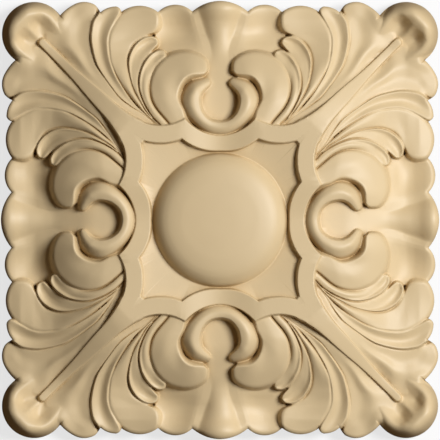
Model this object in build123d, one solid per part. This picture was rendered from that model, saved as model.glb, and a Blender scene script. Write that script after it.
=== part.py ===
from build123d import *

import os
from math import radians, tan

# A square corner rosette: one block carved with leaves, a strap frame and a plain boss.
# The carving is the same eight times over, so one eighth is drawn, then mirrored and turned.
# It lies on its flat back, with the carved face up.

# Overall size
side = 100.0  # across the square, from petal to petal
thickness = 18.0  # from the flat back to the top of the boss

# The drawing below is made 100 across and 18 high, and stretches with the block
plan = side / 100.0
lift = thickness / 18.0

# Boss and the panel round it
boss_radius = 15.3
boss_shoulder_drop = 1.95  # from the top of the boss to its shoulder
boss_shoulder_inset = 1.9  # from the foot of the boss in to its shoulder
boss_crown_drop = 0.55  # from the top of the boss to the crown line
boss_crown_share = 0.62  # where the crown line lies, as a share of the radius
panel_drop = 4.6  # from the top of the boss down to the foot of the panel
panel_rise = 1.5  # from the boss out to the corner of the panel
panel_reach = 26.5  # from the centre out to where that rise ends

# Strap frame
strap_drop = 2.15  # from the top of the boss down to the strap
strap_dip = 1.35  # how far the strap sinks in the middle of each side
strap_dip_reach = 10.0  # from the middle line to where the strap is level

# Cuts between the leaves
vein_half_width = 0.12  # half the width of a cut
past_diagonal = 0.4  # how far a slice across the diagonal runs past it, where the eighth is cut


def at(u, v):
    """A point of the drawing: u to the side of the upright middle line, v above the centre."""
    return Vector(u * plan, v * plan, 0)


def diagonal(c, aside):
    """A point beside the diagonal: c from both middle lines, then aside square to the diagonal."""
    return (c - aside / 2**0.5, c + aside / 2**0.5)


def gouged(heights, flats):
    """Heights across a sweep of the gouge through three of them, cut as so many flats."""
    start, middle, end = heights
    steps = [index / flats for index in range(flats + 1)]
    return [start * (1 - t) * (1 - 2 * t) + 4 * middle * t * (1 - t) + end * t * (2 * t - 1) for t in steps]


def section(left, right, heights, drafts, floor):
    """One upright slice across a leaf, from its left edge to its right edge."""
    run = right - left
    along = run.normalized()
    low = floor * lift
    step = (run.length - 2 * vein_half_width) / (len(heights) - 1)
    tops = [(vein_half_width + step * index, height * lift) for index, height in enumerate(heights)]
    foot_left = tops[0][0] - (tops[0][1] - low) * tan(radians(drafts[0]))
    foot_right = tops[-1][0] + (tops[-1][1] - low) * tan(radians(drafts[1]))
    outline = Polyline(*tops, (foot_right, low), (foot_left, low), close=True)
    return Plane(origin=left, x_dir=along, z_dir=along.cross(Vector(0, 0, 1))) * make_face(outline)


def leaf(stations, drafts=(0, 0), floor=0.5, flats=3):
    """A carved leaf, lofted through slices from its tip to where it dives under the strap."""
    slices = []
    for left, right, heights in stations:
        tops = gouged(heights[:3], flats)
        if len(heights) == 5:
            tops += gouged(heights[2:], flats)[1:]
        slices.append(section(at(*left), at(*right), tops, drafts, floor))
    return loft(slices, ruled=True)


def level_leaf(stations, flats=3):
    """A leaf whose slices all run straight across the drawing: v, left u, right u, heights."""
    return leaf([((a, v), (b, v), heights) for v, a, b, heights in stations], flats=flats)


def rim_scallops():
    """The wavy rim of the block over one eighth, from the middle line to the corner."""
    runs = [
        ((0, 50.0), (3.3, 49.4), (6.35, 47.6)),
        ((6.35, 47.6), (10.3, 49.2), (14.15, 47.5)),
        ((14.15, 47.5), (18.0, 48.95), (22.55, 47.55)),
        ((22.55, 47.55), (23.4, 48.75)),
        ((23.4, 48.75), (25.6, 48.45), (27.35, 47.4)),
        ((27.35, 47.4), (28.6, 49.2)),
        ((28.6, 49.2), (33.4, 49.25), (36.55, 46.75)),
        ((36.55, 46.75), (41.2, 49.75), (47.7, 47.7)),
    ]
    edges = []
    for run in runs:
        points = [at(*point) for point in run]
        edges.append(Line(*points) if len(points) == 2 else ThreePointArc(*points))
    return edges


def block():
    """The eighth of the block that everything is carved in, with its scalloped rim."""
    sides = [Line(at(47.7, 47.7), at(0, 0)), Line(at(0, 0), at(0, 50.0))]
    return extrude(make_face([*rim_scallops(), *sides]), thickness)


def mound():
    """The body of the block under the leaves, which falls from the middle to the rim."""
    falls = [(0, 0), (0, 11.0), (22.0, 11.0), (43.0, 4.2), (60.0, 4.2), (60.0, 0)]
    profile = Polyline(*[(v * plan, height * lift) for v, height in falls], close=True)
    return extrude(Plane.YZ * make_face(profile), side)


def corner_leaf():
    """The lowest leaf: a dish, a ridge and a valley that runs down beside the midrib."""
    stations = [
        (51.0, 27.2, 37.5, (4.7, 4.8, 4.6, 4.6, 4.4)),
        (45.5, 28.7, 39.8, (5.9, 5.3, 5.6, 6.2, 6.0)),
        (41.0, 29.5, 41.0, (6.75, 6.2, 6.45, 5.5, 5.2)),
        (36.7, 28.6, 35.7, (8.25, 7.85, 8.05, 7.0, 6.2)),
        (32.5, 26.4, 31.8, (10.4, 10.3, 10.15, 9.75, 9.35)),
        (28.0, 23.0, 26.8, (13.0, 12.95, 12.9, 12.8, 12.6)),
        (24.5, 18.1, 22.5, (13.8, 13.8, 13.75, 13.7, 13.6)),
        (21.0, 14.2, 19.5, (14.1, 14.1, 14.1, 14.05, 14.0)),
    ]
    return level_leaf(stations, flats=2)


def finger_leaf():
    """The narrow dished leaf that stands above the corner leaf."""
    stations = [
        (51.0, 21.6, 27.2, (6.6, 6.45, 6.1)),
        (45.5, 23.75, 28.7, (6.9, 6.45, 6.7)),
        (41.0, 25.45, 29.5, (7.85, 7.35, 7.6)),
        (36.7, 25.05, 28.6, (9.45, 8.85, 8.9)),
        (32.5, 23.45, 26.4, (11.4, 10.85, 10.8)),
        (28.0, 20.6, 23.0, (13.2, 13.05, 13.2)),
        (24.5, 17.35, 18.1, (13.9, 13.85, 13.9)),
        (21.0, 13.0, 14.2, (14.2, 14.1, 14.2)),
    ]
    return level_leaf(stations)


def broad_leaf():
    """The wide leaf in the middle of the fan."""
    stations = [
        ((14.0, 51.0), (21.6, 51.0), (6.5, 5.8, 5.4)),
        ((13.85, 45.3), (23.75, 45.5), (7.45, 6.95, 6.85)),
        ((14.5, 42.6), (24.8, 42.7), (7.2, 7.15, 7.5)),
        ((17.3, 41.8), (25.45, 41.0), (7.25, 7.3, 7.9)),
        ((19.75, 39.9), (25.3, 39.5), (7.6, 8.0, 8.45)),
        ((20.95, 36.2), (25.05, 36.7), (9.3, 9.7, 9.5)),
        ((20.65, 32.5), (23.45, 32.5), (11.35, 11.65, 11.35)),
        ((18.75, 28.0), (20.6, 28.0), (13.4, 13.35, 13.1)),
        ((16.5, 24.5), (17.35, 24.5), (14.2, 14.1, 14.0)),
        ((12.2, 20.8), (12.95, 20.8), (14.5, 14.45, 14.4)),
    ]
    return leaf(stations)


def outer_hook():
    """The outer of the two hooked fingers beside the scroll petal."""
    stations = [
        ((14.1, 39.8), (14.1, 41.1), (7.6, 7.45, 7.4)),
        ((15.7, 38.0), (17.1, 41.8), (8.2, 7.45, 7.7)),
        ((17.4, 35.8), (19.6, 39.95), (9.6, 8.4, 8.3)),
        ((18.4, 32.9), (20.9, 36.1), (11.3, 10.4, 9.9)),
        ((18.55, 30.4), (20.6, 32.5), (12.6, 12.2, 11.7)),
        ((17.9, 27.9), (18.7, 28.0), (13.7, 13.6, 13.5)),
        ((15.75, 24.4), (16.45, 24.4), (14.4, 14.38, 14.36)),
    ]
    return leaf(stations, flats=2)


def inner_hook():
    """The inner hooked finger, which stands above the outer one."""
    stations = [
        ((12.4, 37.35), (12.5, 38.35), (9.4, 9.15, 8.85)),
        ((13.7, 35.9), (14.9, 38.5), (9.9, 9.25, 9.05)),
        ((15.2, 33.5), (17.2, 36.0), (10.95, 10.6, 10.4)),
        ((16.0, 30.5), (18.5, 31.5), (12.4, 12.7, 12.3)),
        ((15.7, 27.8), (17.9, 28.0), (13.5, 13.95, 13.6)),
        ((13.9, 24.5), (15.7, 24.3), (14.45, 14.75, 14.5)),
        ((10.6, 20.8), (12.1, 20.6), (15.0, 15.15, 15.0)),
    ]
    return leaf(stations, flats=2)


def scroll_petal():
    """The smooth petal that wraps round the scroll and slopes away from its rim."""
    stations = [
        ((3.1, 33.4), (2.9, 36.0), (12.4, 11.75, 11.1)),
        ((4.8, 32.6), (5.0, 37.8), (13.3, 11.95, 10.3)),
        ((7.2, 32.15), (8.8, 38.4), (13.75, 11.9, 9.8)),
        ((8.6, 30.5), (12.6, 37.0), (14.0, 12.5, 10.2)),
        ((9.25, 28.8), (15.2, 33.4), (14.3, 13.5, 11.7)),
        ((9.2, 27.0), (15.95, 29.5), (14.6, 14.4, 13.15)),
        ((8.5, 25.2), (14.6, 25.4), (14.85, 14.9, 14.25)),
        ((7.4, 21.6), (11.0, 21.0), (15.1, 15.1, 15.0)),
    ]
    return leaf(stations, drafts=(0, 26.0), floor=6.4)


def scroll():
    """Half of the horseshoe scroll: a round bead that starts thin and rises to the middle line."""
    stations = [
        ((2.4, 32.0), (2.2, 30.8), (12.5, 12.8, 12.65)),
        ((4.2, 32.3), (3.25, 29.8), (12.65, 13.5, 13.4)),
        ((6.7, 31.5), (4.2, 28.5), (12.85, 14.35, 14.15)),
        ((8.5, 29.2), (4.55, 27.3), (13.4, 15.1, 14.65)),
        ((8.7, 26.6), (4.45, 26.2), (14.25, 15.6, 14.9)),
        ((7.6, 24.1), (3.8, 24.6), (14.75, 15.8, 15.1)),
        ((5.2, 21.45), (2.5, 23.15), (14.6, 15.75, 15.2)),
        ((2.4, 19.8), (1.1, 22.55), (14.4, 15.5, 15.15)),
        ((-0.6, 19.4), (-0.6, 22.4), (14.35, 15.4, 15.1)),
    ]
    return leaf(stations, drafts=(0, 32.0), floor=10.4, flats=4)


def petal_ground():
    """The crowned middle petal, the valley and ridge beside it and the hollow petal beyond."""
    stations = [
        (51.0, 8.9, (4.6, 6.6), (5.6, 6.8), 5.4, 5.4),
        (48.4, 9.75, (4.7, 7.5), (5.7, 7.45), 5.85, 6.0),
        (45.5, 8.6, (4.5, 6.8), (5.6, 7.1), 5.35, 6.0),
        (42.5, 8.2, (4.1, 6.8), (5.25, 6.9), 5.25, 5.8),
        (39.5, 8.35, (3.2, 7.65), (4.5, 8.0), 6.9, 6.1),
        (36.0, 9.4, (2.7, 9.2), (4.0, 9.3), 8.4, 7.5),
        (30.0, 11.75, (3.4, 11.9), (5.0, 11.5), 10.5, 10.0),
        (20.5, 13.2, (4.4, 13.3), (5.6, 13.1), 12.5, 12.0),
    ]
    edge = 15.5
    low = 0.5
    slices = []
    for v, crest, valley, ridge, hollow, end in stations:
        crown = gouged((valley[1], crest, valley[1]), 4)
        bowl = gouged((ridge[1], hollow, end), 3)
        tops = [(valley[0] * (index / 2 - 1), height) for index, height in enumerate(crown)]
        tops += [(ridge[0] + (edge - ridge[0]) * index / 3, height) for index, height in enumerate(bowl)]
        outline = [(u * plan, height * lift) for u, height in [*tops, (edge, low), (-valley[0], low)]]
        cut = Plane(origin=at(0, v), x_dir=(1, 0, 0), z_dir=(0, -1, 0))
        slices.append(cut * make_face(Polyline(*outline, close=True)))
    return loft(slices, ruled=True)


def curled_tip():
    """The rolled tip of the corner leaf: a dish with a fat lip that stands highest at the corner."""
    stations = [
        (-4.5, 5.5, (4.4, 5.2, 4.9, 4.8, 4.8)),
        (-1.5, 7.2, (4.9, 6.5, 5.8, 5.7, 5.9)),
        (1.0, 7.5, (3.6, 6.9, 6.9, 7.2, 7.5)),
        (3.0, 6.9, (3.4, 7.6, 8.5, 8.7, 9.0)),
        (5.0, 5.6, (3.4, 7.3, 8.7, 9.05, 9.1)),
        (6.4, 4.1, (3.0, 5.5, 7.0, 7.4, 7.5)),
        (8.0, 2.5, (3.0, 3.3, 3.5, 3.5, 3.5)),
    ]
    centre = 42.35
    slices = []
    for out, half_width, heights in stations:
        c = centre + out / 2**0.5
        slices.append((diagonal(c, half_width), diagonal(c, -past_diagonal), heights))
    return leaf(slices, flats=2)


def strap_edge(points):
    """Half of one edge of the strap: an arc to the cusp, then an arc to the corner."""
    first = ThreePointArc(*(at(*point) for point in points[0:3]))
    second = ThreePointArc(*(at(*point) for point in points[2:5]))
    return [first, second]


def strap_profile():
    """What stays of the strap seen from the side: level, and dipping to the middle line."""
    top = thickness - strap_drop
    low = top - strap_dip
    dip = Spline((0, low), (strap_dip_reach, top), tangents=[(1, 0), (1, 0)])
    rest = Polyline((strap_dip_reach, top), (side, top), (side, 0), (0, 0), (0, low))
    return extrude(Plane.XZ * make_face([dip, *rest.edges()]), -side)


def midrib():
    """The flat bar on the diagonal, from the strap's corner down to its round tip in the curl."""
    stations = [
        (18.0, 4.2, 15.85), (20.6, 3.25, 15.8), (22.2, 2.55, 15.4), (24.5, 2.1, 14.7), (27.0, 1.85, 13.4),
        (30.0, 1.55, 11.35), (33.0, 1.25, 9.15), (36.0, 1.07, 7.1), (38.5, 1.0, 6.4), (40.8, 0.97, 6.4),
        (41.2, 0.8, 6.4), (41.45, 0.45, 6.4),
    ]
    slices = []
    for c, half_width, height in stations:
        slices.append((diagonal(c, half_width), diagonal(c, -past_diagonal), (height, height, height)))
    return leaf(slices, flats=2)


def frame_panel():
    """The strap frame with the dished panel sunk inside it."""
    outer = strap_edge([(0, 19.25), (4.6, 20.45), (8.0, 23.1), (13.4, 21.5), (20.0, 23.6)])
    corner = Polyline(at(20.0, 23.6), at(20.6, 20.6), at(0, 0), at(0, 19.25))
    plate = make_face([*outer, *corner.edges()])
    inner = strap_edge([(0, 15.65), (4.6, 16.2), (8.6, 18.45), (13.3, 17.45), (18.4, 18.4)])
    sunk = make_face([*inner, *Polyline(at(18.4, 18.4), at(0, 0), at(0, 15.65)).edges()])
    foot = thickness - panel_drop
    dish = Polyline((0, foot), (boss_radius, foot), (panel_reach, foot + panel_rise),
                    (panel_reach, 2 * thickness), (0, 2 * thickness), close=True)
    above = revolve(Plane.XZ * make_face(dish), Axis.Z)
    return (extrude(plate, thickness) & strap_profile()) - (extrude(sunk, 2 * thickness) & above)


def boss():
    """The plain cushion in the middle: nearly flat on top, round at the shoulder, steep at the foot."""
    foot = (boss_radius, thickness - panel_drop - 0.5)
    shoulder = (boss_radius - boss_shoulder_inset, thickness - boss_shoulder_drop)
    crown = (boss_radius * boss_crown_share, thickness - boss_crown_drop)
    outline = Spline((0, thickness), crown, shoulder, foot, tangents=[(1, 0), (0.25, -1)])
    rest = Polyline(foot, (boss_radius, 0), (0, 0), (0, thickness))
    return revolve(Plane.XZ * make_face([outline, *rest.edges()]), Axis.Z)


def eighth():
    """One eighth of the carving, cut square on the middle line and on the diagonal."""
    leaves = [petal_ground(), corner_leaf(), finger_leaf(), broad_leaf(), outer_hook(), inner_hook(),
              scroll_petal(), scroll(), curled_tip(), midrib(), frame_panel()]
    return mound().fuse(*leaves) & block()


def rosette():
    """All eight eighths and the boss, as one solid."""
    part = eighth()
    quarter = part.fuse(part.mirror(Plane(origin=(0, 0, 0), x_dir=(1, 1, 0), z_dir=(1, -1, 0))))
    whole = quarter.fuse(*[Rot(0, 0, 90 * turn) * quarter for turn in (1, 2, 3)])
    return whole.fuse(boss())


os.makedirs("parts", exist_ok=True)
export_step(rosette(), "parts/rosette.step")
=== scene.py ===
import math
import bpy
import numpy as np
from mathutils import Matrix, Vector
from mathutils.bvhtree import BVHTree


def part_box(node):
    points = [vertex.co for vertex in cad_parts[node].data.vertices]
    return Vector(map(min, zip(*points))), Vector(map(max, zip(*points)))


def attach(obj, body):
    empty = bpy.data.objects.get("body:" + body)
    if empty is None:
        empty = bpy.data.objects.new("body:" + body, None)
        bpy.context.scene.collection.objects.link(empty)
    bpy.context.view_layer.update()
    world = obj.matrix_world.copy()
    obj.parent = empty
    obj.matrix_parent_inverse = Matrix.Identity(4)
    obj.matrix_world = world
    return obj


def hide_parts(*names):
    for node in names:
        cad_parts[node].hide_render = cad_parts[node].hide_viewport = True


# A carved square corner rosette in matt cream paint. It lies on its flat back, front up,
# and the camera looks straight down on it. The carving is worked in millimetres on one
# eighth of the square: u is across from the upright middle line, v is up from the centre.

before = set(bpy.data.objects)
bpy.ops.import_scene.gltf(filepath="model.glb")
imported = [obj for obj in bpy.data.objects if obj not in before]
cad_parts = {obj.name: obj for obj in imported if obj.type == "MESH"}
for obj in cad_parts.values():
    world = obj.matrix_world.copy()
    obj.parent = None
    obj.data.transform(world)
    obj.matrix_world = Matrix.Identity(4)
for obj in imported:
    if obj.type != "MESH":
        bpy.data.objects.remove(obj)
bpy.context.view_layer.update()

millimetre = 0.001  # in metres, the unit of the frame


rosetteLook = {
    "size": (100.0, 100.0, 18.0),  # the block as it is carved here, before it is fitted to the frame
    "rimSteps": 400,               # grid columns along the rim of one eighth
    "depthSteps": 370,             # grid rows from the centre out to a line short of the rim
    "lineReach": 44.0,             # how far out that line lies
    "lineSmoothing": 150,          # passes that even out the places along that line
    "rimRows": 56,                 # grid rows from that line to the rim
    "rimCrowding": 1.4,            # above 1 the last rows lie closer together
    "soften": 2,                   # smoothing passes over the carved surface
    "trianglesPerEighth": 23800,
    "inset": 0.04,                 # kept clear of the frame's box, all round
    "snapWithin": 0.05,            # an open edge this near a plane of symmetry is put on it
    "largeFaceWeight": 60,         # 50 weighs faces by their area, and above it large ones count for more
}


def arcThrough(a, b, c, n):
    # n points on the circle through three points, the last one left out
    (ax, ay), (bx, by), (cx, cy) = a, b, c
    d = 2 * (ax * (by - cy) + bx * (cy - ay) + cx * (ay - by))
    sa, sb, sc = ax * ax + ay * ay, bx * bx + by * by, cx * cx + cy * cy
    ox = (sa * (by - cy) + sb * (cy - ay) + sc * (ay - by)) / d
    oy = (sa * (cx - bx) + sb * (ax - cx) + sc * (bx - ax)) / d
    r = math.hypot(ax - ox, ay - oy)
    start = math.atan2(ay - oy, ax - ox)
    through = (math.atan2(by - oy, bx - ox) - start) % (2 * math.pi)
    end = (math.atan2(cy - oy, cx - ox) - start) % (2 * math.pi)
    if through > end:
        end -= 2 * math.pi
    turn = start + end * np.arange(n) / n
    return np.stack([ox + r * np.cos(turn), oy + r * np.sin(turn)], axis=1)


def smoothRows(rows, n):
    # a smooth run through the rows, n steps to each gap
    rows = np.asarray(rows, float)
    padded = np.vstack([2 * rows[0] - rows[1], rows, 2 * rows[-1] - rows[-2]])
    t = (np.arange(n) / n)[:, None]
    out = []
    for p0, p1, p2, p3 in zip(padded[:-3], padded[1:-2], padded[2:-1], padded[3:]):
        out.append(0.5 * (2 * p1 + (p2 - p0) * t + (2 * p0 - 5 * p1 + 4 * p2 - p3) * t**2
                          + (3 * p1 - p0 - 3 * p2 + p3) * t**3))
    return np.vstack(out + [rows[-1:]])


class Sheets:
    # all the carved surfaces of the eighth, as one heap of faces to drop plumb lines on
    def __init__(self):
        self.points, self.faces, self.count = [], [], 0

    def add(self, grid):
        rows, cols = grid.shape[:2]
        first = self.count + np.arange(rows * cols).reshape(rows, cols)
        quads = np.stack([first[:-1, :-1], first[1:, :-1], first[1:, 1:], first[:-1, 1:]], axis=-1)
        self.points.append(grid.reshape(-1, 3))
        self.faces.append(quads.reshape(-1, 4))
        self.count += rows * cols

    def heights(self, places):
        tree = BVHTree.FromPolygons(np.vstack(self.points).tolist(), np.vstack(self.faces).tolist())
        down = Vector((0, 0, -1))
        found = np.zeros(len(places))
        # a line can slip between two faces, so three are dropped side by side
        for dx, dy in ((0.004, 0.003), (-0.003, 0.005), (0.002, -0.004)):
            for i, (x, y) in enumerate(places.tolist()):
                hit = tree.ray_cast(Vector((x + dx, y + dy, 40)), down)[0]
                if hit and hit.z > found[i]:
                    found[i] = hit.z
        return found


leafLook = {
    "veinHalf": 0.15,   # half the width of a cut between two leaves
    "shoulder": 0.3,    # how far a leaf's edge is rounded back from a cut
    "edgeFall": 0.55,   # how far the rounded edge drops, as a share of its shoulder
    "tuck": 0.01,       # added to every foot, so that no slit is left beside it
}


def leafSheet(stations, feet=(0.17, 0.17), drops=(0.45, 0.45), shoulders=None, fine=8, across=9):
    # a carved leaf: stations are (left edge, right edge, heights from left to right),
    # feet and drops say how far its side walls stand out and how deep they go
    look = leafLook
    shoulders = shoulders or (look["shoulder"], look["shoulder"])
    flat = smoothRows([[*left, *right, *heights] for left, right, heights in stations], fine)
    rows = []
    for row in flat:
        left, right, tops = row[0:2], row[2:4], row[4:]
        width = np.hypot(*(right - left))
        along = (right - left) / width
        gap = min(look["veinHalf"], width / 3)
        s = np.linspace(0, 1, (len(tops) - 1) * across + 1)
        z = smoothRows(tops[:, None], across)[:, 0]
        inner = gap + s * (width - 2 * gap)
        for side, shoulder in enumerate(shoulders):
            reach = inner - gap if side == 0 else (width - gap) - inner
            shoulder = min(shoulder, (width - 2 * gap) * 0.45)  # the two roundings never meet
            bend = np.clip(1 - reach / shoulder, 0, 1)
            # a quarter round, stopped just short of upright
            z = z - look["edgeFall"] * shoulder * (1 - np.sqrt(1 - bend**2 * 0.98))
        leftFoot, rightFoot = gap - feet[0] - look["tuck"], width - gap + feet[1] + look["tuck"]
        inner = np.concatenate([[leftFoot], inner, [rightFoot]])
        z = np.concatenate([[z[0] - drops[0]], z, [z[-1] - drops[1]]])
        spots = left[None, :] + inner[:, None] * along[None, :]
        rows.append(np.column_stack([spots, z]))
    return np.array(rows)


def level(stations):
    # stations that run straight across: v, left u, right u, heights
    return [((a, v), (b, v), heights) for v, a, b, heights in stations]


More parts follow.
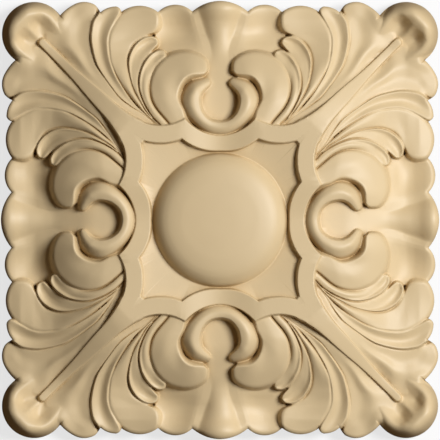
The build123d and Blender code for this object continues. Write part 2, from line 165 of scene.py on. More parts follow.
# the leaves of one eighth, heights in millimetres above the flat back
leaves = {
    "cornerLeaf": {"stations": level([
        (51.0, 27.2, 38.0, (4.7, 4.8, 4.6, 4.6, 4.2)),
        (49.0, 27.6, 38.3, (4.9, 5.0, 4.8, 4.9, 4.5)),
        (47.3, 28.1, 38.5, (5.2, 5.3, 5.1, 5.55, 5.3)),
        (45.5, 28.8, 39.0, (5.9, 5.35, 5.6, 6.25, 5.9)),
        (44.0, 29.3, 39.5, (6.15, 5.6, 5.95, 6.2, 5.3)),
        (42.0, 29.55, 40.2, (6.5, 5.95, 6.2, 5.7, 5.2)),
        (40.0, 29.4, 39.6, (7.0, 6.5, 6.75, 5.9, 5.2)),
        (38.0, 28.95, 36.9, (7.7, 7.25, 7.55, 6.6, 5.6)),
        (36.0, 28.4, 34.9, (8.5, 8.15, 8.3, 7.4, 6.6)),
        (34.0, 27.4, 33.1, (9.6, 9.3, 9.3, 8.7, 8.1)),
        (32.0, 26.0, 31.1, (10.75, 10.6, 10.45, 10.1, 9.7)),
        (30.0, 24.6, 28.9, (12.0, 11.9, 11.8, 11.6, 11.35)),
        (27.5, 22.5, 26.2, (13.2, 13.2, 13.15, 13.05, 12.9)),
        (25.5, 19.8, 23.8, (13.6, 13.6, 13.6, 13.55, 13.5)),
        (23.5, 16.6, 21.6, (13.9, 13.9, 13.9, 13.85, 13.8)),
        (20.5, 13.4, 18.5, (14.2, 14.2, 14.2, 14.2, 14.1)),
    ])},
    "fingerLeaf": {"stations": level([
        (51.0, 21.4, 27.2, (6.6, 6.25, 6.3)),
        (48.6, 22.2, 27.3, (6.75, 6.2, 6.4)),
        (47.5, 22.6, 27.75, (6.9, 6.2, 6.55)),
        (45.5, 23.75, 29.0, (7.05, 6.1, 6.85)),
        (43.5, 24.8, 29.45, (7.35, 6.35, 7.15)),
        (41.5, 25.4, 29.55, (7.85, 6.8, 7.6)),
        (39.5, 25.43, 29.3, (8.45, 7.4, 8.1)),
        (37.5, 25.2, 28.85, (9.2, 8.2, 8.7)),
        (35.3, 24.65, 28.1, (10.2, 9.2, 9.6)),
        (33.0, 23.75, 26.75, (11.25, 10.4, 10.6)),
        (30.5, 22.3, 25.0, (12.3, 11.75, 11.9)),
        (28.0, 20.6, 23.0, (13.2, 13.0, 13.2)),
        (25.7, 18.65, 20.1, (13.7, 13.6, 13.7)),
        (23.5, 16.1, 16.8, (14.0, 13.95, 14.0)),
        (20.5, 12.7, 13.4, (14.2, 14.2, 14.2)),
    ])},
    "broadLeaf": {"stations": [
        ((14.6, 51.0), (21.4, 51.0), (6.2, 5.7, 5.3)),
        ((14.4, 49.0), (22.0, 49.0), (6.6, 6.1, 5.8)),
        ((14.15, 47.7), (22.5, 47.6), (7.0, 6.4, 6.15)),
        ((13.9, 46.6), (23.1, 46.6), (7.3, 6.7, 6.5)),
        ((13.8, 45.6), (23.7, 45.6), (7.45, 6.95, 6.85)),
        ((13.85, 44.6), (24.25, 44.7), (7.5, 7.0, 7.0)),
        ((14.15, 43.6), (24.75, 43.7), (7.4, 7.05, 7.25)),
        ((14.85, 42.8), (25.1, 42.8), (7.25, 7.1, 7.5)),
        ((16.1, 42.25), (25.35, 41.9), (7.2, 7.15, 7.7)),
        ((18.2, 41.25), (25.45, 40.7), (7.3, 7.4, 8.0)),
        ((19.7, 39.9), (25.42, 39.4), (7.5, 7.9, 8.4)),
        ((20.6, 38.2), (25.25, 38.0), (8.2, 8.5, 8.9)),
        ((20.95, 36.4), (25.0, 36.2), (9.1, 9.5, 9.75)),
        ((20.85, 34.3), (24.3, 34.3), (10.3, 10.7, 10.55)),
        ((20.4, 32.0), (23.15, 32.0), (11.6, 11.9, 11.6)),
        ((19.6, 29.5), (21.65, 29.5), (12.9, 13.1, 12.6)),
        ((18.1, 26.8), (19.55, 26.8), (13.9, 13.9, 13.5)),
        ((16.2, 23.9), (16.8, 23.9), (14.3, 14.3, 14.1)),
        ((11.6, 20.0), (12.1, 20.0), (14.5, 14.5, 14.4)),
    ], "feet": (1.05, 0.17), "drops": (2.4, 0.45), "shoulders": (0.6, 0.3)},
    "outerHook": {"stations": [
        ((14.0, 40.35), (14.05, 40.75), (7.4, 7.5, 7.5, 7.45, 7.4)),
        ((14.1, 39.95), (14.3, 41.3), (7.75, 7.7, 7.5, 7.45, 7.6)),
        ((14.6, 39.3), (15.0, 41.85), (8.0, 7.8, 7.35, 7.3, 7.75)),
        ((15.4, 38.4), (16.2, 42.0), (8.2, 7.85, 7.3, 7.2, 7.85)),
        ((16.3, 37.3), (17.7, 41.5), (8.6, 8.1, 7.45, 7.35, 8.0)),
        ((17.15, 36.1), (19.2, 40.3), (9.35, 8.75, 8.05, 7.8, 8.35)),
        ((17.95, 34.6), (20.4, 38.4), (10.3, 9.75, 9.15, 8.8, 9.15)),
        ((18.4, 33.0), (20.9, 36.3), (11.1, 10.65, 10.2, 9.8, 10.0)),
        ((18.58, 31.3), (20.75, 33.8), (12.0, 11.7, 11.35, 11.0, 11.05)),
        ((18.4, 29.5), (20.15, 31.1), (12.9, 12.8, 12.6, 12.35, 12.3)),
        ((17.9, 27.8), (19.1, 28.5), (13.7, 13.65, 13.6, 13.45, 13.4)),
        ((16.7, 25.3), (17.3, 25.4), (14.2, 14.2, 14.2, 14.15, 14.1)),
        ((15.3, 23.3), (15.7, 23.3), (14.4, 14.4, 14.4, 14.37, 14.35)),
    ], "feet": (0.3, 0.17), "drops": (1.4, 0.7), "shoulders": (0.35, 0.5)},
    "innerHook": {"stations": [
        ((12.3, 37.65), (12.35, 38.0), (9.1, 9.2, 9.2, 9.1, 9.0)),
        ((12.45, 37.2), (12.65, 38.45), (9.45, 9.35, 9.1, 9.0, 9.1)),
        ((12.95, 36.65), (13.4, 38.8), (9.7, 9.45, 9.0, 8.85, 9.1)),
        ((13.6, 36.0), (14.5, 38.7), (9.9, 9.6, 9.05, 8.85, 9.2)),
        ((14.4, 34.9), (15.9, 37.75), (10.35, 10.05, 9.55, 9.3, 9.7)),
        ((15.2, 33.5), (17.1, 36.2), (11.05, 10.9, 10.55, 10.3, 10.75)),
        ((15.8, 31.8), (18.0, 34.4), (11.75, 11.8, 11.6, 11.2, 11.45)),
        ((16.05, 30.1), (18.5, 32.0), (12.55, 12.85, 12.7, 12.3, 12.4)),
        ((15.85, 28.3), (18.4, 29.7), (13.3, 13.6, 13.6, 13.25, 13.2)),
        ((15.3, 26.6), (17.6, 27.2), (13.85, 14.15, 14.2, 14.0, 13.9)),
        ((14.4, 25.1), (16.5, 25.1), (14.25, 14.5, 14.6, 14.45, 14.35)),
        ((13.0, 23.4), (15.2, 23.2), (14.65, 14.8, 14.85, 14.75, 14.6)),
        ((10.2, 20.3), (12.0, 20.0), (14.9, 15.0, 15.0, 14.95, 14.9)),
    ], "feet": (0.3, 0.2), "drops": (1.4, 1.2), "shoulders": (0.35, 0.45)},
    "scrollPetal": {"stations": [
        ((3.3, 33.4), (2.9, 33.8), (12.5, 12.4, 12.2)),
        ((3.6, 33.2), (2.75, 34.9), (12.8, 12.3, 11.7)),
        ((4.2, 33.1), (3.0, 36.1), (13.0, 12.2, 11.2)),
        ((5.0, 33.05), (3.85, 37.1), (13.25, 12.1, 10.8)),
        ((6.1, 33.0), (5.2, 37.9), (13.5, 12.05, 10.45)),
        ((7.2, 32.65), (7.0, 38.4), (13.65, 12.0, 10.1)),
        ((8.15, 31.9), (9.2, 38.35), (13.8, 12.05, 9.85)),
        ((8.9, 30.75), (11.6, 37.65), (13.95, 12.3, 9.9)),
        ((9.3, 29.6), (13.35, 36.35), (14.1, 12.8, 10.5)),
        ((9.5, 28.5), (14.85, 34.5), (14.3, 13.4, 11.4)),
        ((9.45, 27.5), (15.8, 32.3), (14.5, 14.0, 12.2)),
        ((9.2, 26.7), (16.1, 30.1), (14.7, 14.4, 13.0)),
        ((8.75, 25.9), (15.7, 27.7), (14.8, 14.75, 13.8)),
        ((8.25, 24.9), (14.6, 25.5), (14.9, 14.9, 14.3)),
        ((7.7, 22.8), (12.0, 22.3), (15.05, 15.1, 14.85)),
        ((6.9, 21.0), (10.6, 20.2), (15.1, 15.1, 15.0)),
    ], "feet": (1.3, 1.0), "drops": (1.7, 3.4), "shoulders": (0.35, 0.8)},
    "scroll": {"stations": [
        ((2.1, 31.55), (2.0, 31.25), (12.2, 12.3, 12.2)),
        ((2.45, 32.05), (2.1, 30.85), (12.3, 12.7, 12.6)),
        ((3.1, 32.35), (2.5, 30.4), (12.35, 13.1, 13.1)),
        ((4.3, 32.3), (3.25, 29.8), (12.45, 13.7, 13.75)),
        ((5.8, 31.95), (3.9, 29.1), (12.55, 14.3, 14.3)),
        ((7.2, 31.1), (4.3, 28.4), (12.7, 14.85, 14.8)),
        ((8.3, 29.6), (4.5, 27.6), (13.1, 15.2, 15.1)),
        ((8.8, 28.0), (4.5, 26.9), (13.7, 15.5, 15.3)),
        ((8.7, 26.6), (4.4, 26.1), (14.25, 15.7, 15.45)),
        ((8.1, 25.2), (4.1, 25.1), (14.7, 15.85, 15.55)),
        ((7.15, 23.5), (3.55, 24.1), (14.9, 15.85, 15.6)),
        ((5.7, 21.85), (2.8, 23.3), (14.85, 15.8, 15.55)),
        ((3.9, 20.5), (1.9, 22.75), (14.7, 15.65, 15.45)),
        ((2.0, 19.7), (0.95, 22.5), (14.6, 15.5, 15.35)),
        ((0.0, 19.45), (0.0, 22.4), (14.55, 15.45, 15.3)),
        ((-2.0, 19.7), (-0.95, 22.5), (14.6, 15.5, 15.35)),
    ], "feet": (0.3, 0.75), "drops": (0.5, 3.8), "shoulders": (0.7, 0.3)},
}

middlePetal = {
    "reach": 15.0,      # how far to the side the bowl beside it runs, under the leaves
    "along": 8,         # sheet rows to each gap between stations
    "crownPoints": 25,
    "bowlPoints": 11,
    "smoothing": 2,     # passes across each row
    # v, crest height, valley (u, z), ridge (u, z), hollow z, end z
    "stations": [
        (51.0, 8.9, (5.3, 6.6), (6.6, 6.8), 5.3, 5.4),
        (49.5, 9.3, (5.2, 6.9), (6.5, 7.1), 5.6, 5.6),
        (48.2, 9.6, (5.05, 7.1), (6.4, 7.3), 5.8, 6.0),
        (47.0, 9.3, (4.8, 7.0), (6.2, 7.35), 5.7, 6.1),
        (45.5, 8.6, (4.35, 6.6), (5.8, 7.2), 5.35, 6.0),
        (44.0, 8.25, (3.85, 6.5), (5.4, 7.0), 5.1, 5.8),
        (42.5, 8.2, (3.3, 6.7), (4.9, 7.1), 5.25, 5.8),
        (41.0, 8.2, (2.75, 7.2), (4.4, 7.6), 5.9, 5.8),
        (39.5, 8.35, (2.4, 7.7), (4.0, 8.1), 6.9, 6.1),
        (37.5, 8.8, (2.2, 8.5), (3.8, 8.8), 7.9, 6.8),
        (34.0, 10.2, (2.8, 10.2), (4.0, 10.0), 9.0, 8.5),
        (30.0, 11.75, (3.4, 11.9), (5.0, 11.5), 10.5, 10.0),
        (26.0, 12.45, (4.4, 12.6), (5.6, 12.5), 11.5, 11.0),
        (20.5, 13.2, (4.4, 13.3), (5.6, 13.1), 12.5, 12.0),
    ],
}


def petalSheet():
    look = middlePetal
    flat = smoothRows([[v, crest, *valley, *ridge, hollow, end]
                       for v, crest, valley, ridge, hollow, end in look["stations"]], look["along"])
    rows = []
    t = np.linspace(0, 1, look["bowlPoints"] + 1)[1:]
    for v, crest, valleyU, valleyZ, ridgeU, ridgeZ, hollow, end in flat:
        crownU = np.linspace(-valleyU, valleyU, look["crownPoints"])
        crownZ = valleyZ + (crest - valleyZ) * (1 - (crownU / valleyU)**2)
        bowlU = ridgeU + (look["reach"] - ridgeU) * t
        pull = 2 * hollow - (ridgeZ + end) / 2  # takes the bowl through the hollow's height half way along
        bowlZ = (1 - t)**2 * ridgeZ + 2 * t * (1 - t) * pull + t**2 * end
        u = np.concatenate([crownU, [ridgeU], bowlU])
        z = np.concatenate([crownZ, [ridgeZ], bowlZ])
        for _ in range(look["smoothing"]):
            z[1:-1] = (z[:-2] + 2 * z[1:-1] + z[2:]) / 4
        rows.append(np.column_stack([u, np.full_like(u, v), z]))
    return np.array(rows)


curlTip = {
    "centre": 42.35,  # u and v of the tip's own zero on the diagonal
    "along": 6,       # sheet rows to each gap between stations
    "across": 8,      # sheet columns to each gap between heights
    # along the diagonal, half width, heights from the side to the middle
    "stations": [
        (-8.5, 5.5, (4.0, 4.8, 5.2, 5.2, 5.0, 4.8, 4.7)),
        (-6.5, 6.2, (3.8, 4.8, 5.4, 5.3, 5.1, 4.9, 4.8)),
        (-5.0, 6.8, (3.6, 4.9, 5.7, 5.6, 5.2, 5.0, 4.9)),
        (-3.5, 7.2, (3.6, 5.2, 6.1, 5.8, 5.3, 5.0, 5.1)),
        (-1.5, 7.45, (4.3, 5.9, 6.6, 6.0, 5.25, 4.95, 5.2)),
        (0.0, 7.45, (4.3, 6.3, 6.9, 6.05, 5.3, 5.35, 5.9)),
        (1.0, 7.4, (4.1, 6.4, 7.2, 6.45, 5.55, 5.95, 6.65)),
        (2.0, 7.25, (3.9, 6.5, 7.5, 7.35, 6.7, 7.05, 7.5)),
        (3.0, 6.95, (3.8, 6.4, 7.8, 8.45, 8.4, 8.4, 8.5)),
        (4.2, 6.35, (3.6, 6.2, 7.9, 8.75, 9.15, 9.25, 9.25)),
        (5.2, 5.6, (3.4, 5.9, 7.6, 8.5, 8.9, 9.05, 9.05)),
        (6.1, 4.65, (3.2, 5.3, 6.7, 7.5, 7.9, 8.05, 8.1)),
        (6.9, 3.4, (3.1, 4.4, 5.3, 5.9, 6.3, 6.4, 6.45)),
        (7.6, 2.2, (3.0, 3.5, 3.9, 4.2, 4.4, 4.5, 4.55)),
        (8.4, 2.0, (2.0, 2.1, 2.2, 2.3, 2.4, 2.5, 2.5)),
    ],
}


def curlSheet():
    look = curlTip
    flat = smoothRows([[out, half, *heights] for out, half, heights in look["stations"]], look["along"])
    rows = []
    for row in flat:
        out, half, tops = row[0], row[1], row[2:]
        both = np.concatenate([tops, tops[-2::-1]])  # mirrored over the diagonal, so the middle is smooth
        steps = (len(tops) - 1) * look["across"] + 1
        z = smoothRows(both[:, None], look["across"])[:steps, 0]
        s = np.linspace(0, 1, steps)
        w = half * (1 - s)
        c = look["centre"]
        rows.append(np.column_stack([c + (out - w) / 2**0.5, c + (out + w) / 2**0.5, z]))
    return np.array(rows)


strapLook = {
    "height": 15.85,
    "dip": 1.35,          # how far it sinks at the middle line, where the scrolls pass over it
    "dipReach": 10.0,     # how far to the side that dip runs
    # its edges, as arcs through three points
    "outer": [((0, 19.25), (4.6, 20.45), (8.0, 23.1)), ((8.0, 23.1), (13.4, 21.5), (20.0, 23.6))],
    "inner": [((0, 15.65), (4.6, 16.2), (8.6, 18.45)), ((8.6, 18.45), (13.3, 17.45), (18.4, 18.4))],
    "pointsPerArc": 60,
    "round": 0.25,        # how far in from an edge its rounding starts
    "wall": 0.25,         # how far the foot of a wall stands out from its edge
    "innerDrop": 4.0,     # how deep the walls go
    "outerDrop": 3.0,
    "overlap": 0.5,       # how far the band runs past the middle line
}


def strapHeight(u):
    t = np.clip(u / strapLook["dipReach"], 0, 1)
    return strapLook["height"] - strapLook["dip"] * (1 - t * t * (3 - 2 * t))


def strapSheets(sheets):
    look = strapLook
    r, wall = look["round"], look["wall"]
    # distance in from an edge, and fall, across the band
    innerEdge = ((-wall, look["innerDrop"]), (0, 0.45 * r), (0.3 * r, 0.18 * r), (r, 0.0))
    outerEdge = ((r, 0.0), (0.3 * r, 0.18 * r), (0, 0.45 * r), (-wall, look["outerDrop"]))
    for outer, inner in zip(look["outer"], look["inner"]):
        a, b = arcThrough(*inner, look["pointsPerArc"]), arcThrough(*outer, look["pointsPerArc"])
        a, b = np.vstack([a, inner[2]]), np.vstack([b, outer[2]])
        width = np.hypot(*(b - a).T)[:, None]
        along = (b - a) / width
        spots = []
        for offset, fall in innerEdge:
            spots.append(np.column_stack([a + along * offset, strapHeight(a[:, 0]) - fall]))
        for offset, fall in outerEdge:
            spots.append(np.column_stack([b - along * offset, strapHeight(b[:, 0]) - fall]))
        band = np.array(spots).transpose(1, 0, 2)
        if a[0, 0] == 0:
            band = np.concatenate([band[:1] - (look["overlap"], 0, 0), band])
        sheets.add(band)


midrib = {
    "along": 6,         # sheet rows to each gap between stations
    # along the diagonal, half width, height
    "stations": [
        (17.6, 3.2, 15.85),
        (19.0, 3.4, 15.85),
        (20.3, 3.25, 15.85),
        (21.0, 2.86, 15.85),
        (21.8, 2.55, 15.8),
        (23.5, 2.09, 15.3),
        (25.3, 1.84, 14.4),
        (27.2, 1.73, 13.3),
        (29.1, 1.56, 12.0),
        (30.95, 1.34, 10.65),
        (32.8, 1.13, 9.25),
        (34.7, 0.99, 7.9),
        (36.65, 0.92, 6.8),
        (38.6, 0.88, 6.3),
        (39.6, 0.87, 6.25),
        (40.6, 0.85, 6.3),
    ],
    "edge": ((0, 0), (0.5, 0.0), (0.82, 0.03), (0.95, 0.1), (1.0, 0.2)),  # share of the half width, fall
    "footReach": 0.22,  # how far the foot of its wall stands out
    "footDrop": 1.6,
    "endRows": 9,
}


def midribSheet():
    look = midrib
    flat = smoothRows(look["stations"], look["along"])
    reach, endHalf, endZ = look["stations"][-1]
    # the end closes on a half circle
    tip = [(reach + endHalf / 2**0.5 * 0.999 * math.sin(a), endHalf * math.cos(a), endZ)
           for a in np.linspace(0.2, math.pi / 2, look["endRows"])]
    rows = []
    for c, half, z in np.vstack([flat, tip]):
        row = []
        for w, fall in look["edge"]:
            row.append((c - w * half / 2**0.5, c + w * half / 2**0.5, z - fall))
        foot = half + look["footReach"]
        row.append((c - foot / 2**0.5, c + foot / 2**0.5, z - look["footDrop"]))
        rows.append(row)
    return np.array(rows)


def ringSheet(profile, fine, fromTurn=43, toTurn=92, steps=80):
    # a surface turned about the middle, a little past one eighth on both sides
    flat = smoothRows(profile, fine)
    turn = np.radians(np.linspace(fromTurn, toTurn, steps))
    return np.stack([flat[:, 0][:, None] * np.cos(turn), flat[:, 0][:, None] * np.sin(turn),
                     np.repeat(flat[:, 1][:, None], len(turn), axis=1)], axis=-1)


# radius and height, from the middle out
bossProfile = [(0.0, 18.0), (4.0, 17.92), (7.6, 17.66), (9.5, 17.43), (11.46, 17.0), (12.6, 16.55),
               (13.4, 16.05), (14.2, 15.3), (14.8, 14.5), (15.15, 13.8), (15.35, 12.6)]
moundProfile = [(0, 10.0), (20, 11.8), (26, 11.2), (32, 8.6), (38, 6.0), (45, 3.9), (75, 3.0)]

rimLook = {
    # the lobes' edges as arcs through three points, each with how far the carving is rounded in from it
    "arcs": [
        ((0, 50.0), (3.3, 49.4), (6.35, 47.6), 1.2),
        ((6.35, 47.6), (10.3, 49.2), (14.15, 47.5), 1.0),
        ((14.15, 47.5), (18.0, 48.95), (22.55, 47.55), 1.0),
        ((22.55, 47.55), (22.98, 48.4), (23.7, 48.78), 0.85),
        ((23.7, 48.78), (25.6, 48.45), (27.35, 47.4), 0.85),
        ((27.35, 47.4), (27.85, 48.35), (28.6, 49.2), 0.85),
        ((28.6, 49.2), (31.0, 49.85), (33.4, 49.25), 0.85),
        ((33.4, 49.25), (35.1, 48.15), (36.55, 46.75), 0.95),
        ((36.55, 46.75), (41.2, 49.75), (47.7, 47.7), 1.8),
    ],
    "pointsPerArc": 60,
    "blend": 40,   # smoothing passes where one rounding runs into the next
    "fall": 0.9,   # how far the rim drops, as a share of its rounding
}


def rimPoints():
    count = rimLook["pointsPerArc"]
    arcs = rimLook["arcs"]
    curve = np.vstack([arcThrough(a, b, c, count) for a, b, c, _ in arcs] + [[arcs[-1][2]]])
    soft = np.concatenate([np.repeat(rounding, count) for *_, rounding in arcs] + [[arcs[-1][3]]])
    run = np.concatenate([[0], np.cumsum(np.hypot(*np.diff(curve, axis=0).T))])
    even = np.linspace(0, run[-1], rosetteLook["rimSteps"] + 1)
    spots = np.column_stack([np.interp(even, run, curve[:, 0]), np.interp(even, run, curve[:, 1])])
    soft = np.interp(even, run, soft)
    for _ in range(rimLook["blend"]):
        soft[1:-1] = (soft[:-2] + 2 * soft[1:-1] + soft[2:]) / 4
    return spots, soft, curve


def gridSpots(rim):
    # rays from the centre to a straight line short of the rim, then bent to meet the rim evenly
    look = rosetteLook
    reach = look["lineReach"]
    line = np.column_stack([rim[:, 0] * reach / rim[-1, 0], np.full(len(rim), reach)])
    for _ in range(look["lineSmoothing"]):
        line[1:-1, 0] = (line[:-2, 0] + 2 * line[1:-1, 0] + line[2:, 0]) / 4
    inner = np.linspace(0, 1, look["depthSteps"] + 1)[:, None, None]
    outer = 1 - (1 - np.linspace(0, 1, look["rimRows"] + 1)[1:, None, None])**look["rimCrowding"]
    return np.concatenate([line[None] * inner, line[None] * (1 - outer) + rim[None] * outer])


panelLook = {
    "lowRadius": 15.3,          # where it comes out from under the boss
    "lowHeight": 13.4,
    "rise": 1.5,                # how much it rises over the run
    "run": 9.9,
    "underBoss": 14.5,          # the radius at which it ends, under the boss
    "underStrap": 0.6,          # how far it runs on under the strap
    "pastMiddle": 0.6,          # how far it runs past the middle line
    "cornerEnd": (19.0, 18.0),  # where its edge ends, past the diagonal
    "pointsPerArc": 40,
    "rows": 8,
}


def panelSheet():
    # the dished panel, from under the boss out to under the strap
    look = panelLook
    start, end = strapLook["inner"][0][0], strapLook["inner"][-1][2]
    arcs = [arcThrough(*arc, look["pointsPerArc"]) for arc in strapLook["inner"]]
    edge = np.vstack([[(-look["pastMiddle"], start[1])]] + arcs + [[end, look["cornerEnd"]]])
    radius = np.hypot(edge[:, 0], edge[:, 1])
    rows = []
    for q in np.linspace(0, 1, look["rows"]):
        r = (radius + look["underStrap"]) * (1 - q) + look["underBoss"] * q
        z = look["lowHeight"] + (r - look["lowRadius"]) * look["rise"] / look["run"]
        rows.append(np.column_stack([edge * (r / radius)[:, None], z]))
    return np.array(rows)


def softened(spots, z):
    # one smoothing pass, carried over the planes of symmetry; the rim keeps its place
    wide = np.concatenate([z[:, 1:2], z, z[:, -2:-1]], axis=1)
    z = (wide[:, :-2] + 2 * wide[:, 1:-1] + wide[:, 2:]) / 4
    z[1:-1] = (z[:-2] + 2 * z[1:-1] + z[2:]) / 4
    # the spots move with their heights, or a bend in the grid would show as a crease
    wide = np.concatenate([spots[:, 1:2] * (-1, 1), spots, spots[:, -2:-1, ::-1]], axis=1)
    spots[:-1] = ((wide[:, :-2] + 2 * wide[:, 1:-1] + wide[:, 2:]) / 4)[:-1]
    spots[1:-1] = (spots[:-2] + 2 * spots[1:-1] + spots[2:]) / 4
    return spots, z


def carve():
    # heights of one eighth, on rays from the centre to the rim
    look = rosetteLook
    sheets = Sheets()
    for sheet in (ringSheet(moundProfile, fine=6), petalSheet(), curlSheet(), midribSheet(),
                  ringSheet(bossProfile, fine=8), panelSheet()):
        sheets.add(sheet)
    for leaf in leaves.values():
        shape = {key: value for key, value in leaf.items() if key != "stations"}
        sheets.add(leafSheet(leaf["stations"], **shape))
    strapSheets(sheets)
    rim, soft, curve = rimPoints()
    spots = gridSpots(rim)
    # a hair inside the rim, so that every line lands
    z = sheets.heights(spots.reshape(-1, 2) * 0.99999).reshape(spots.shape[:2])
    z[0] = z[1]
    for _ in range(look["soften"]):
        spots, z = softened(spots, z)
    near = spots[look["depthSteps"]:]
    away = np.array([[np.min(np.hypot(*(curve - spot).T)) for spot in row] for row in near])
    away[-1] = 0
    bend = np.clip(1 - away / soft[None, :], 0, 1)
    # a quarter round, stopped just short of upright
    z[look["depthSteps"]:] -= rimLook["fall"] * soft[None, :] * (1 - np.sqrt(1 - bend**2 * 0.998))
    return spots, z, rim


def edgeUses(corners):
    # every edge of a mesh of triangles, and how many triangles share it
    edges = np.sort(np.vstack([corners[:, [0, 1]], corners[:, [1, 2]], corners[:, [2, 0]]]), axis=1)
    return np.unique(edges, axis=0, return_counts=True)


def eighthMesh(spots, z, rim):
    # carved face, rim wall and flat back of one eighth, open on the two planes of symmetry
    look = rosetteLook
    rows, cols = z.shape
    top = np.column_stack([spots.reshape(-1, 2), z.reshape(-1)])
    shares = (0.66, 0.33, 0.0)  # down the wall, and then in to the middle of the back
    walls = [np.column_stack([rim, z[-1] * share]) for share in shares]
    backs = [np.column_stack([rim * share, np.zeros(cols)]) for share in shares]
    points = np.vstack([top, *walls, *backs])
    number = np.arange(len(points)).reshape(rows + len(walls) + len(backs), cols)
    # the first and the last row are each a single point
    number[0, :] = 0
    number[-1, :] = number[-1, 0]
    quads = np.stack([number[:-1, :-1], number[:-1, 1:], number[1:, 1:], number[1:, :-1]], axis=-1)
    quads = quads.reshape(-1, 4)
    mesh = bpy.data.meshes.new("eighth")
    faces = [[a for k, a in enumerate(q) if a != q[k - 1]] for q in quads.tolist()]
    mesh.from_pydata(points.tolist(), [], faces)
    piece = bpy.data.objects.new("eighth", mesh)
    bpy.context.scene.collection.objects.link(piece)
    thin = piece.modifiers.new("thin", "DECIMATE")
    thin.ratio = look["trianglesPerEighth"] / (2 * len(quads))
    thin.use_collapse_triangulate = True
    ready = piece.evaluated_get(bpy.context.evaluated_depsgraph_get()).to_mesh()
    kept = np.zeros(len(ready.vertices) * 3)
    ready.vertices.foreach_get("co", kept)
    kept = kept.reshape(-1, 3)
    corners = np.zeros(len(ready.polygons) * 3, dtype=np.int64)
    ready.polygons.foreach_get("vertices", corners)
    corners = corners.reshape(-1, 3)
    bpy.data.objects.remove(piece)
    pairs, uses = edgeUses(corners)
    loose = np.unique(pairs[uses == 1])
    onAxis = loose[kept[loose, 0] < look["snapWithin"]]
    onDiagonal = loose[np.abs(kept[loose, 0] - kept[loose, 1]) < look["snapWithin"]]
    print("open edge of the eighth: %d points, %d on the axis, %d on the diagonal"
          % (len(loose), len(onAxis), len(onDiagonal)))
    kept[onAxis, 0] = 0
    middle = (kept[onDiagonal, 0] + kept[onDiagonal, 1]) / 2
    kept[onDiagonal, 0] = middle
    kept[onDiagonal, 1] = middle
    return kept, corners


def buildRosette():
    look = rosetteLook
    spots, z, rim = carve()
    print("carved the eighth", z.shape, "from %.2f to %.2f mm" % (z.min(), z.max()))
    points, corners = eighthMesh(spots, z, rim)
    low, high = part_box("rosette")
    inset, size = look["inset"], look["size"]
    scale = np.array([(high[k] - low[k] - millimetre * 2 * inset) / size[k] for k in range(3)])
    centre = np.array([(high[0] + low[0]) / 2, (high[1] + low[1]) / 2, low[2] + millimetre * inset])
    allPoints, allCorners = [], []
    for turn in range(4):
        c, s = math.cos(turn * math.pi / 2), math.sin(turn * math.pi / 2)
        for flip in (1, -1):
            u, v = points[:, 0] * flip, points[:, 1]
            moved = np.column_stack([u * c - v * s, u * s + v * c, points[:, 2]])
            allCorners.append((corners if flip == 1 else corners[:, ::-1]) + len(points) * len(allPoints))
            allPoints.append(moved * scale + centre)
    mesh = bpy.data.meshes.new("rosette_carved")
    everyPoint, everyCorner = np.vstack(allPoints), np.vstack(allCorners)
    # the eighths share the points on their common edges, matched to a hundred-thousandth of a millimetre
    key = np.round(everyPoint * 1e8).astype(np.int64)
    _, first, back = np.unique(key, axis=0, return_index=True, return_inverse=True)
    merged = back.ravel()[everyCorner]
    mesh.from_pydata(everyPoint[first].tolist(), [], merged.tolist())
    mesh.validate()
    mesh.shade_smooth()
    piece = bpy.data.objects.new("rosette_carved", mesh)
    bpy.context.scene.collection.objects.link(piece)
    even = piece.modifiers.new("even_shading", "WEIGHTED_NORMAL")
    even.mode = "FACE_AREA"
    even.weight = look["largeFaceWeight"]
    uses = edgeUses(merged)[1]
    print("rosette mesh", len(mesh.polygons), "triangles, edges not shared by two:", int((uses != 2).sum()))
    return piece


paintLook = {
    "cream": (0.685, 0.53, 0.31),
    # painted shade: the brown that narrow crevices are darkened towards, where shade falls
    "paintedShadeColour": (0.43, 0.29, 0.13),
    "paintedShadeReach": 0.0022,   # how far round a spot looks for walls that shade it
    "paintedShadeFrom": 0.35,      # a spot no more open than this has the full painted shade
    "paintedShadeTo": 0.85,        # and one more open than this has none
    "paintedShadeSamples": 12,
    "mottleScale": 90.0,
    "mottleDetail": 4,
    "mottleShare": 0.05,
    "roughness": 0.5,
    "sheen": 0.5,             # how much light the paint's surface gives back
    "grainScale": 1400.0,
    "grainDetail": 3,
    "grainStrength": 0.12,
    "grainDepth": 0.00008,
}


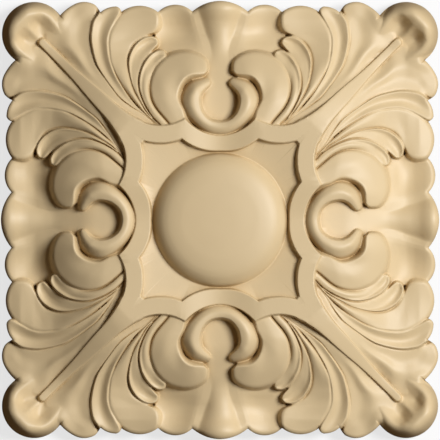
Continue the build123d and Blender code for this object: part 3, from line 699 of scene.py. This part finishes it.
def creamPaint():
    look = paintLook
    paint = bpy.data.materials.new("matt_cream_paint")
    paint.use_nodes = True
    nodes, links = paint.node_tree.nodes, paint.node_tree.links
    shader = nodes["Principled BSDF"]
    shader.inputs["Roughness"].default_value = look["roughness"]
    shader.inputs["Specular IOR Level"].default_value = look["sheen"]
    place = nodes.new("ShaderNodeTexCoord")
    mottle = nodes.new("ShaderNodeTexNoise")
    mottle.inputs["Scale"].default_value = look["mottleScale"]
    mottle.inputs["Detail"].default_value = look["mottleDetail"]
    links.new(place.outputs["Object"], mottle.inputs["Vector"])
    patchy = nodes.new("ShaderNodeMix")
    patchy.data_type = "RGBA"
    patchy.inputs["A"].default_value = (*[c * (1 - look["mottleShare"]) for c in look["cream"]], 1)
    patchy.inputs["B"].default_value = (*[c * (1 + look["mottleShare"]) for c in look["cream"]], 1)
    links.new(mottle.outputs["Fac"], patchy.inputs["Factor"])
    # painted shade: the less open a spot is, the further its cream is darkened towards the brown, as shade
    # falls in crevices
    openness = nodes.new("ShaderNodeAmbientOcclusion")
    openness.samples = look["paintedShadeSamples"]
    openness.inputs["Distance"].default_value = look["paintedShadeReach"]
    share = nodes.new("ShaderNodeMapRange")
    share.inputs["From Min"].default_value = look["paintedShadeFrom"]
    share.inputs["From Max"].default_value = look["paintedShadeTo"]
    links.new(openness.outputs["AO"], share.inputs["Value"])
    shadedPaint = nodes.new("ShaderNodeMix")
    shadedPaint.data_type = "RGBA"
    shadedPaint.inputs["A"].default_value = (*look["paintedShadeColour"], 1)
    links.new(share.outputs["Result"], shadedPaint.inputs["Factor"])
    links.new(patchy.outputs["Result"], shadedPaint.inputs["B"])
    links.new(shadedPaint.outputs["Result"], shader.inputs["Base Color"])
    grain = nodes.new("ShaderNodeTexNoise")
    grain.inputs["Scale"].default_value = look["grainScale"]
    grain.inputs["Detail"].default_value = look["grainDetail"]
    links.new(place.outputs["Object"], grain.inputs["Vector"])
    bump = nodes.new("ShaderNodeBump")
    bump.inputs["Strength"].default_value = look["grainStrength"]
    bump.inputs["Distance"].default_value = look["grainDepth"]
    links.new(grain.outputs["Fac"], bump.inputs["Height"])
    links.new(bump.outputs["Normal"], shader.inputs["Normal"])
    return paint


rosette = buildRosette()
rosette.data.materials.append(creamPaint())
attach(rosette, "root")
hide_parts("rosette")
print("rosette painted")

stageLook = {
    "floorSize": 3.0,
    "floorDrop": 0.0002,            # how far the floor lies below the block's back
    "floorColour": 0.9,
    "floorRoughness": 0.9,
    "floorBounce": (0.12, 0.08, 0.045),  # what the floor gives back on to the carving
    "floorGlow": 0.75,              # the share of plain white the camera sees, the rest shows the shadow
    "keyBearing": 16.0,             # degrees round from the right of the picture
    "keyHeight": 51.5,              # degrees above the floor
    "keyDistance": 1.2,
    "keySize": 0.45,
    "keyPower": 16.3,
    "fill": (0.044, 0.029, 0.015),  # a dim warm room
    "cameraHeight": 2.4,
    "pictureWidth": 0.1004,         # what the camera sees across, a third of the way up the block
    "sightLimit": 20.0,
}


def stage():
    look = stageLook
    half = look["floorSize"] / 2
    ground = bpy.data.meshes.new("floor")
    edge = [(-half, -half, 0), (half, -half, 0), (half, half, 0), (-half, half, 0)]
    ground.from_pydata(edge, [], [(0, 1, 2, 3)])
    floor = bpy.data.objects.new("floor", ground)
    bpy.context.scene.collection.objects.link(floor)
    floor.location.z = -look["floorDrop"]
    pale = bpy.data.materials.new("pale_floor")
    pale.use_nodes = True
    nodes, links = pale.node_tree.nodes, pale.node_tree.links
    shader = nodes["Principled BSDF"]
    shader.inputs["Base Color"].default_value = (look["floorColour"],) * 3 + (1,)
    shader.inputs["Roughness"].default_value = look["floorRoughness"]
    glow = nodes.new("ShaderNodeEmission")
    glow.inputs["Strength"].default_value = 1.0
    shown = nodes.new("ShaderNodeMixShader")
    shown.inputs["Fac"].default_value = look["floorGlow"]
    links.new(shader.outputs["BSDF"], shown.inputs[1])
    links.new(glow.outputs["Emission"], shown.inputs[2])
    bounce = nodes.new("ShaderNodeBsdfDiffuse")
    bounce.inputs["Color"].default_value = (*look["floorBounce"], 1)
    seen = nodes.new("ShaderNodeLightPath")
    mix = nodes.new("ShaderNodeMixShader")
    links.new(seen.outputs["Is Camera Ray"], mix.inputs["Fac"])
    links.new(bounce.outputs["BSDF"], mix.inputs[1])
    links.new(shown.outputs["Shader"], mix.inputs[2])
    links.new(mix.outputs["Shader"], nodes["Material Output"].inputs["Surface"])
    ground.materials.append(pale)

    world = bpy.data.worlds.new("room")
    bpy.context.scene.world = world
    world.use_nodes = True
    nodes, links = world.node_tree.nodes, world.node_tree.links
    soft = nodes["Background"]
    soft.inputs["Color"].default_value = (*look["fill"], 1)
    soft.inputs["Strength"].default_value = 1.0
    backdrop = nodes.new("ShaderNodeBackground")  # what the camera sees, in the node's own pale grey
    backdrop.inputs["Strength"].default_value = 1.0
    seen = nodes.new("ShaderNodeLightPath")
    mix = nodes.new("ShaderNodeMixShader")
    links.new(seen.outputs["Is Camera Ray"], mix.inputs["Fac"])
    links.new(soft.outputs["Background"], mix.inputs[1])
    links.new(backdrop.outputs["Background"], mix.inputs[2])
    links.new(mix.outputs["Shader"], nodes["World Output"].inputs["Surface"])

    bearing, height = math.radians(look["keyBearing"]), math.radians(look["keyHeight"])
    across = math.cos(height)
    toKey = Vector((across * math.cos(bearing), across * math.sin(bearing), math.sin(height)))
    lamp = bpy.data.lights.new("key", "AREA")
    lamp.shape = "DISK"
    lamp.size = look["keySize"]
    lamp.energy = look["keyPower"]
    key = bpy.data.objects.new("key", lamp)
    key.location = toKey * look["keyDistance"]
    key.rotation_euler = (-toKey).to_track_quat("-Z", "Y").to_euler()
    bpy.context.scene.collection.objects.link(key)

    eye = bpy.data.cameras.new("camera")
    # the picture is measured at a third of the height
    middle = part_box("rosette")[1][2] / 3
    eye.lens = eye.sensor_width * (look["cameraHeight"] - middle) / look["pictureWidth"]
    eye.clip_end = look["sightLimit"]
    camera = bpy.data.objects.new("camera", eye)
    camera.location = (0, 0, look["cameraHeight"])
    bpy.context.scene.collection.objects.link(camera)
    bpy.context.scene.camera = camera
    bpy.context.scene.view_settings.view_transform = "Standard"


stage()
print("stage set")
